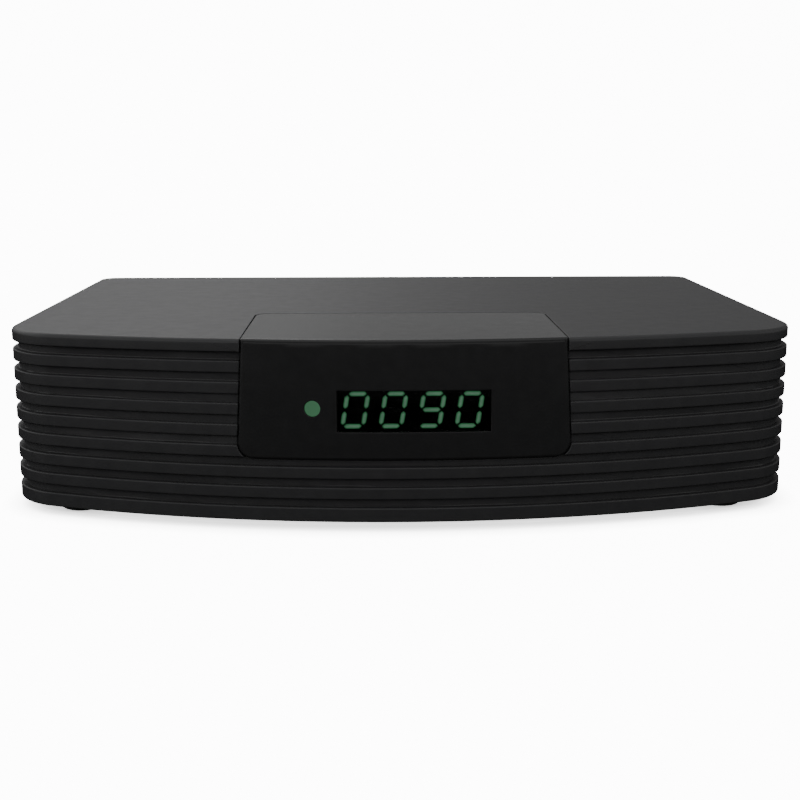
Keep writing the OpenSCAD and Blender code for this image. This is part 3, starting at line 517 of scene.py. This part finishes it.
# the lit segments are parted from the resting ones
def makeDigits():
    whole = copyOfNode("display_segments", "restingSegments")
    mesh = whole.data
    clearMesh(whole, "FACE")
    group = list(range(len(mesh.vertices)))

    def root(i):
        while group[i] != i:
            i = group[i]
        return i

    for edge in mesh.edges:
        a, b = root(edge.vertices[0]), root(edge.vertices[1])
        group[max(a, b)] = min(a, b)
    corners = {}
    for vertex in mesh.vertices:
        corners.setdefault(root(vertex.index), []).append(vertex.co / mm)
    middle = sum(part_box("display_segments"), Vector()) / 2 / mm
    half = (len(digits["shown"]) - 1) / 2
    lit = set()
    for part, points in corners.items():
        away = sum(points, Vector()) / len(points) - middle
        place = round(away.x / digits["pitch"] + half)
        letter = segmentLetter(away.x - (place - half) * digits["pitch"], away.z)
        if letter in digits["lit"][digits["shown"][place]]:
            lit.add(part)
    for face in mesh.polygons:
        face.select = root(face.vertices[0]) in lit
    bpy.ops.object.mode_set(mode="EDIT")
    bpy.ops.mesh.separate(type="SELECTED")
    bpy.ops.object.mode_set(mode="OBJECT")
    glowing = [piece for piece in bpy.context.selected_objects if piece is not whole][0]
    glowing.name = "litSegments"
    return whole, glowing


# lit plastic: shares by which the glow dims and the body lightens with the grain, relief in mm
glowLook = {"dim": 0.82, "lift": 1.3, "driftShare": 3, "strength": 0.1, "depth": 0.02, "rough": 0.5, "power": 1}


def glowMaterial(name, glow, body, scale):
    material, tree, shader, place = newMaterial(name)
    grain = useGroup(tree, mouldGrain, place, {"Scale": scale, "Drift": scale / glowLook["driftShare"]})
    dimmed = tuple(c * glowLook["dim"] for c in glow)
    lifted = tuple(c * glowLook["lift"] for c in body)
    tree.links.new(tint(tree, grain["Tone"], dimmed, glow), shader.inputs["Emission Color"])
    tree.links.new(tint(tree, grain["Tone"], body, lifted), shader.inputs["Base Color"])
    emboss(tree, shader, grain["Height"], glowLook["strength"], glowLook["depth"])
    shader.inputs["Emission Strength"].default_value = glowLook["power"]
    shader.inputs["Roughness"].default_value = glowLook["rough"]
    return material


finish["segmentCore"] = glowMaterial("segmentCore", digits["core"], digits["coreBody"], digits["grain"])
finish["segmentFringe"] = glowMaterial("segmentFringe", digits["fringe"], digits["fringeBody"], digits["grain"])


# paler middle of each lit segment
def lightCores(piece):
    clearMesh(piece, "FACE")
    for face in piece.data.polygons:
        face.select = face.normal.y < digits["facing"] and face.area > digits["smallest"]
    bpy.ops.object.mode_set(mode="EDIT")
    bpy.ops.mesh.inset(thickness=digits["inset"] * mm, depth=0, use_individual=True)
    bpy.ops.object.mode_set(mode="OBJECT")
    dressFaces(piece, finish["segmentCore"], lambda face: face.select)


resting, glowing = makeDigits()
for piece, material in ((resting, finish["segmentRest"]), (glowing, finish["segmentFringe"])):
    roundEdges(piece, digits["round"], digits["steps"], digits["angle"], True)
    standFor(piece, "display_segments", material)
lightCores(glowing)
print("digits made")

# smoked pane with a blackened rim that keeps stray light in
pane = {"round": 0.08, "steps": 2, "angle": 50, "facing": 0.9, "scale": 300, "drift": 40,
        "dark": (0.55, 0.57, 0.56), "light": (0.7, 0.72, 0.71), "rough": (0.02, 0.06), "bending": 1.45}


def smokedPane(name):
    material, tree, shader, place = newMaterial(name)
    grain = useGroup(tree, mouldGrain, place, {"Scale": pane["scale"], "Drift": pane["drift"]})
    tree.links.new(tint(tree, grain["Tone"], pane["dark"], pane["light"]), shader.inputs["Base Color"])
    tree.links.new(spread(tree, grain["Tone"], *pane["rough"]), shader.inputs["Roughness"])
    shader.inputs["Transmission Weight"].default_value = 1
    shader.inputs["IOR"].default_value = pane["bending"]
    return material


def makePane():
    piece = copyOfNode("display_window", "windowPane")
    roundEdges(piece, pane["round"], pane["steps"], pane["angle"], True)
    standFor(piece, "display_window", smokedPane("smokedPane"))
    dressFaces(piece, finish["displayBlack"], lambda face: abs(face.normal.y) < pane["facing"])


makePane()
print("window made")

statusLight = {"glow": (0.024, 0.104, 0.043), "body": (0.012, 0.03, 0.018), "grain": 700}
finish["statusGlow"] = glowMaterial("statusGlow", statusLight["glow"], statusLight["body"], statusLight["grain"])

# circuit boards: solder mask, traces under it, plated pads
board = {"bare": (0.012, 0.09, 0.035), "trace": (0.03, 0.17, 0.06), "fade": (0.2, 0.8),
         "plating": (0.55, 0.53, 0.46), "rough": (0.42, 0.25), "strength": 0.4, "depth": 0.04}


def boardMaterial(name, tilt):
    material, tree, shader, place = newMaterial(name)
    traces = useGroup(tree, copperTraces, mapped(tree, place, "Rotation", (tilt, 0, 0)), {})
    mask = tint(tree, traces["Runs"], board["bare"], board["trace"], *board["fade"])
    tree.links.new(overlay(tree, traces["Pads"], mask, board["plating"]), shader.inputs["Base Color"])
    tree.links.new(spread(tree, traces["Pads"], *board["rough"], 0, 1), shader.inputs["Roughness"])
    emboss(tree, shader, traces["Runs"], board["strength"], board["depth"])
    return material


# ribbon: parallel cores across its width, the first one red
ribbon = {"cores": 10, "groove": (0.2, 0.2, 0.21), "ridge": (0.42, 0.42, 0.43), "first": (0.45, 0.05, 0.04),
          "halfCore": 0.5, "strength": 0.8, "depth": 0.3, "rough": 0.55}


def ribbonMaterial(name, start, stop):
    material, tree, shader, place = newMaterial(name)
    across = spread(tree, axesOf(tree, place)["X"], 0, ribbon["cores"], start * mm, stop * mm)
    wave = reckon(tree, "PINGPONG", across, ribbon["halfCore"])
    grey = tint(tree, wave, ribbon["groove"], ribbon["ridge"], 0, ribbon["halfCore"])
    first = reckon(tree, "LESS_THAN", across, 1)
    tree.links.new(overlay(tree, first, grey, ribbon["first"]), shader.inputs["Base Color"])
    emboss(tree, shader, wave, ribbon["strength"], ribbon["depth"])
    shader.inputs["Roughness"].default_value = ribbon["rough"]
    return material


ribbonBox = [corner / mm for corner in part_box("ribbon_cable")]
finish["ribbonGrey"] = ribbonMaterial("ribbonGrey", ribbonBox[0].x, ribbonBox[1].x)
finish["mainBoardGreen"] = boardMaterial("mainBoardGreen", 0)
finish["frontBoardGreen"] = boardMaterial("frontBoardGreen", math.pi / 2)

# small parts keep their solids' shape with their edges broken: piece, width in mm, finish, slot
smallParts = {
    "rear_panel": ("rearPlate", 0.15, "panelPaint", "panel_paint"),
    "base_plate": ("baseTray", 0.25, "caseBlack", "case_plastic"),
    "foot_front_left": ("footFrontLeft", 0.25, "footRubber", "foot_rubber"),
    "foot_front_right": ("footFrontRight", 0.25, "footRubber", "foot_rubber"),
    "foot_rear_left": ("footRearLeft", 0.25, "footRubber", "foot_rubber"),
    "foot_rear_right": ("footRearRight", 0.25, "footRubber", "foot_rubber"),
    "case_screws": ("caseScrewSet", 0.12, "screwSteel", "screw_steel"),
    "board_screws": ("boardScrewSet", 0.12, "screwSteel", "screw_steel"),
    "aerial_input": ("aerialSleeve", 0.12, "tinPlate", "tin"),
    "aerial_input_core": ("aerialCore", 0.1, "headerCream", "header_cream"),
    "aerial_loop": ("loopSleeve", 0.12, "tinPlate", "tin"),
    "aerial_loop_pin": ("loopPin", 0.15, "contactGold", "contact_gold"),
    "audio_body": ("audioBlock", 0.2, "partBlack", "part_black"),
    "audio_barrel": ("audioSleeve", 0.15, "audioOrange", "audio_orange"),
    "scart_socket": ("scartBlock", 0.2, "partBlack", "part_black"),
    "scart_contacts": ("scartBlades", 0.06, "contactGold", "contact_gold"),
    "video_shell": ("videoShield", 0.1, "tinPlate", "tin"),
    "video_tongue": ("videoTab", 0.1, "partBlack", "part_black"),
    "stick_shell": ("stickShield", 0.1, "tinPlate", "tin"),
    "stick_tongue": ("stickTab", 0.1, "headerCream", "header_cream"),
    "switch_housing": ("switchFrame", 0.2, "partBlack", "part_black"),
    "power_jack": ("jackBlock", 0.2, "partBlack", "part_black"),
    "power_jack_pin": ("jackPin", 0.15, "tinPlate", "tin"),
    "tuner_frame": ("tunerCan", 0.12, "tinPlate", "tin"),
    "tuner_lid": ("tunerCap", 0.12, "tinPlate", "tin"),
    "heat_sink": ("finBlock", 0.12, "sinkDark", "sink_dark"),
    "system_chip": ("mainChip", 0.1, "partBlack", "part_black"),
    "memory_chips": ("memoryPair", 0.08, "partBlack", "part_black"),
    "flash_chip": ("storeChip", 0.08, "partBlack", "part_black"),
    "regulator": ("regulatorBlock", 0.08, "partBlack", "part_black"),
    "crystal": ("crystalCan", 0.2, "tinPlate", "tin"),
    "coils": ("coilSet", 0.15, "coilDark", "coil_dark"),
    "thermal_pad": ("heatPad", 0.1, "padBlue", "pad_blue"),
    "main_board": ("mainCard", 0.1, "mainBoardGreen", "board_green"),
    "main_header": ("mainPlug", 0.15, "headerCream", "header_cream"),
    "ribbon_cable": ("ribbonStrip", 0.15, "ribbonGrey", "ribbon_grey"),
    "front_header": ("frontPlug", 0.15, "headerCream", "header_cream"),
    "front_board": ("frontCard", 0.1, "frontBoardGreen", "board_green"),
    "front_board_screws": ("frontScrewSet", 0.1, "screwSteel", "screw_steel"),
    "led_display": ("displayBlock", 0.2, "displayBlack", "display_black"),
    "infrared_receiver": ("infraredEye", 0.1, "partBlack", "part_black"),
    "status_led": ("statusLamp", 0.1, "ledClear", "led_clear"),
    "status_light_pipe": ("statusLens", 0.1, "statusGlow", "light_green"),
}
brokenEdge = {"steps": 2, "angle": 40}


def breakEdges(nodeName, pieceName, width, finishName, body="case"):
    piece = copyOfNode(nodeName, pieceName)
    roundEdges(piece, width, brokenEdge["steps"], brokenEdge["angle"])
    standFor(piece, nodeName, finish[finishName], body)
    return piece


for nodeName, (pieceName, width, finishName, slotName) in smallParts.items():
    breakEdges(nodeName, pieceName, width, finishName)
print("small parts made:", len(smallParts))

# rocker with its two printed marks, in mm: bar half width and half height, ring radius and half line width
rocker = {"round": 0.35, "bar": (0.35, 1.5), "ring": (1.25, 0.3), "reach": 3.4, "ink": (0.7, 0.7, 0.7),
          "dark": (0.02, 0.02, 0.021), "light": (0.028, 0.028, 0.029), "rough": (0.2, 0.32),
          "scale": 900, "drift": 60, "strength": 0.08, "depth": 0.02}


def rockerMaterial(name, middle):
    material, tree, shader, place = newMaterial(name)
    grain = useGroup(tree, mouldGrain, place, {"Scale": rocker["scale"], "Drift": rocker["drift"]})
    axes = axesOf(tree, place)

    def away(source, centre):
        return reckon(tree, "ABSOLUTE", reckon(tree, "SUBTRACT", source, centre * mm))

    def within(source, limit):
        return reckon(tree, "LESS_THAN", source, limit * mm)

    def square(source):
        return reckon(tree, "MULTIPLY", source, source)

    barHalf, barReach = rocker["bar"]
    radius, lineHalf = rocker["ring"]
    high = away(axes["Z"], middle.z)
    barSide = within(away(axes["X"], middle.x - rocker["reach"]), barHalf)
    bar = reckon(tree, "MULTIPLY", barSide, within(high, barReach))
    wide = away(axes["X"], middle.x + rocker["reach"])
    span = reckon(tree, "SQRT", reckon(tree, "ADD", square(wide), square(high)))
    mark = reckon(tree, "MAXIMUM", bar, within(away(span, radius), lineHalf))
    plain = tint(tree, grain["Tone"], rocker["dark"], rocker["light"])
    tree.links.new(overlay(tree, mark, plain, rocker["ink"]), shader.inputs["Base Color"])
    tree.links.new(spread(tree, grain["Tone"], *rocker["rough"]), shader.inputs["Roughness"])
    emboss(tree, shader, grain["Height"], rocker["strength"], rocker["depth"])
    return material


rockerBox = [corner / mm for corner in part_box("switch_rocker")]
finish["rockerBlack"] = rockerMaterial("rockerBlack", (rockerBox[0] + rockerBox[1]) / 2)
breakEdges("switch_rocker", "rockerKey", rocker["round"], "rockerBlack", "rocker")
print("rocker made")

# electrolytic cans: sleeved sides, bare tops
can = {"round": 0.15, "facing": 0.9}
canSet = breakEdges("capacitors", "canSet", can["round"], "capSleeve")
dressFaces(canSet, finish["tinPlate"], lambda face: face.normal.z > can["facing"])
print("cans made")

# pale sweep, in metres: it glows evenly, with a painted contact shadow that dims its glow close under the case
floor = {"width": 8, "front": -4, "back": 2, "rise": 4, "bend": 1, "steps": 16, "near": 0.01,
         "pale": (0.85, 0.85, 0.85), "dim": 0.98, "scale": 300, "drift": 2, "rough": 0.9, "gloss": 0.1,
         "paintedShadowReach": 0.007, "glow": 12.0}


# picks the mesh's edges whose ends both pass a test
def pickEdges(piece, test):
    clearMesh(piece, "EDGE")
    for edge in piece.data.edges:
        edge.select = all(test(piece.data.vertices[i].co) for i in edge.vertices)
    bpy.ops.object.mode_set(mode="EDIT")


def makeSweep():
    clearSelection()
    bpy.ops.mesh.primitive_plane_add(size=1, location=(0, (floor["back"] + floor["front"]) / 2, 0))
    sweep = bpy.context.active_object
    sweep.name = "paleSweep"
    bpy.ops.transform.resize(value=(floor["width"], floor["back"] - floor["front"], 1))
    bpy.ops.object.transform_apply(location=True, rotation=True, scale=True)
    backLine = floor["back"] - floor["near"]
    pickEdges(sweep, lambda end: end.y > backLine)
    bpy.ops.mesh.extrude_region_move(TRANSFORM_OT_translate={"value": (0, 0, floor["rise"])})
    pickEdges(sweep, lambda end: end.y > backLine and end.z < floor["near"])
    bpy.ops.mesh.bevel(offset=floor["bend"], segments=floor["steps"], affect="EDGES")
    bpy.ops.object.mode_set(mode="OBJECT")
    bpy.ops.object.shade_smooth()
    sweep.visible_diffuse = False  # the black case keeps clear of the sweep's glare
    sweep.visible_glossy = False
    sweep.visible_transmission = False
    return sweep


def paleMaterial(name):
    material, tree, shader, place = newMaterial(name)
    grain = useGroup(tree, mouldGrain, place, {"Scale": floor["scale"], "Drift": floor["drift"]})
    dimmed = tuple(c * floor["dim"] for c in floor["pale"])
    tree.links.new(tint(tree, grain["Tone"], dimmed, floor["pale"]), shader.inputs["Base Color"])
    shader.inputs["Roughness"].default_value = floor["rough"]
    shader.inputs["Specular IOR Level"].default_value = floor["gloss"]
    # painted shadow: ambient occlusion dims the floor's glow near the case
    near = tree.nodes.new("ShaderNodeAmbientOcclusion")
    near.inputs["Distance"].default_value = floor["paintedShadowReach"]
    tree.links.new(near.outputs["Color"], shader.inputs["Emission Color"])
    shader.inputs["Emission Strength"].default_value = floor["glow"]
    return material


# soft lights, in metres and watts
softLights = {
    "frontSoftbox": {"place": (0.0, -1.3, 0.6), "aim": (0, -0.08, 0.03), "size": (2.4, 0.8), "power": 9.3},
    "rearSoftbox": {"place": (-0.8, 1.02, 1.02), "aim": (0, 0.08, 0.03), "size": (2.2, 0.9), "power": 9.3},
}


def areaLight(name, place, aim, size, power):
    lamp = bpy.data.lights.new(name, "AREA")
    lamp.shape = "RECTANGLE"
    lamp.size, lamp.size_y = size
    lamp.energy = power
    light = bpy.data.objects.new(name, lamp)
    bpy.context.scene.collection.objects.link(light)
    light.location = place
    light.rotation_euler = (Vector(aim) - Vector(place)).to_track_quat("-Z", "Y").to_euler()


# sky: strengths, then where on the axes of a unit ball one fades into the next
sky = {"backLeft": 0.42, "backRight": 0.28, "front": 0.15, "sideLeft": 1.8, "sideRight": 1.2, "top": 1.8,
       "backdrop": 12.0, "white": (1, 1, 1, 1), "backFade": (-0.7, 0.7), "leftFade": (-0.9, -0.4),
       "rightFade": (0.4, 0.9), "frontFade": (-0.1, 0.4), "groundFade": (-0.02, 0.03), "topFade": (0.8, 0.97)}


# light from behind that fades from left to right, from both sides and from straight above, dim in front,
# none from below; the camera sees a plain white backdrop
def makeSky():
    world = bpy.data.worlds.new("studioSky")
    bpy.context.scene.world = world
    world.use_nodes = True
    tree = world.node_tree
    where = tree.nodes.new("ShaderNodeTexCoord")
    axes = axesOf(tree, where.outputs["Generated"])
    leftSide = spread(tree, axes["X"], sky["sideLeft"], sky["front"], *sky["leftFade"])
    rightSide = spread(tree, axes["X"], sky["front"], sky["sideRight"], *sky["rightFade"])
    ahead = reckon(tree, "MAXIMUM", leftSide, rightSide)
    back = spread(tree, axes["X"], sky["backLeft"], sky["backRight"], *sky["backFade"])
    level = between(tree, spread(tree, axes["Y"], 0, 1, *sky["frontFade"]), ahead, back)
    zenith = spread(tree, axes["Z"], 0, sky["top"], *sky["topFade"])
    above = spread(tree, axes["Z"], 0, 1, *sky["groundFade"])
    strength = reckon(tree, "MULTIPLY", reckon(tree, "MAXIMUM", level, zenith), above)
    light = tree.nodes["Background"]
    light.inputs["Color"].default_value = sky["white"]
    tree.links.new(strength, light.inputs["Strength"])
    backdrop = tree.nodes.new("ShaderNodeBackground")
    backdrop.inputs["Color"].default_value = sky["white"]
    backdrop.inputs["Strength"].default_value = sky["backdrop"]
    path = tree.nodes.new("ShaderNodeLightPath")
    choice = tree.nodes.new("ShaderNodeMixShader")
    tree.links.new(path.outputs["Is Camera Ray"], choice.inputs["Fac"])
    tree.links.new(light.outputs[0], choice.inputs[1])
    tree.links.new(backdrop.outputs[0], choice.inputs[2])
    tree.links.new(choice.outputs[0], tree.nodes["World Output"].inputs["Surface"])


dress(makeSweep(), paleMaterial("paleFloor"))
makeSky()
for name, look in softLights.items():
    areaLight(name, **look)
print("studio made")
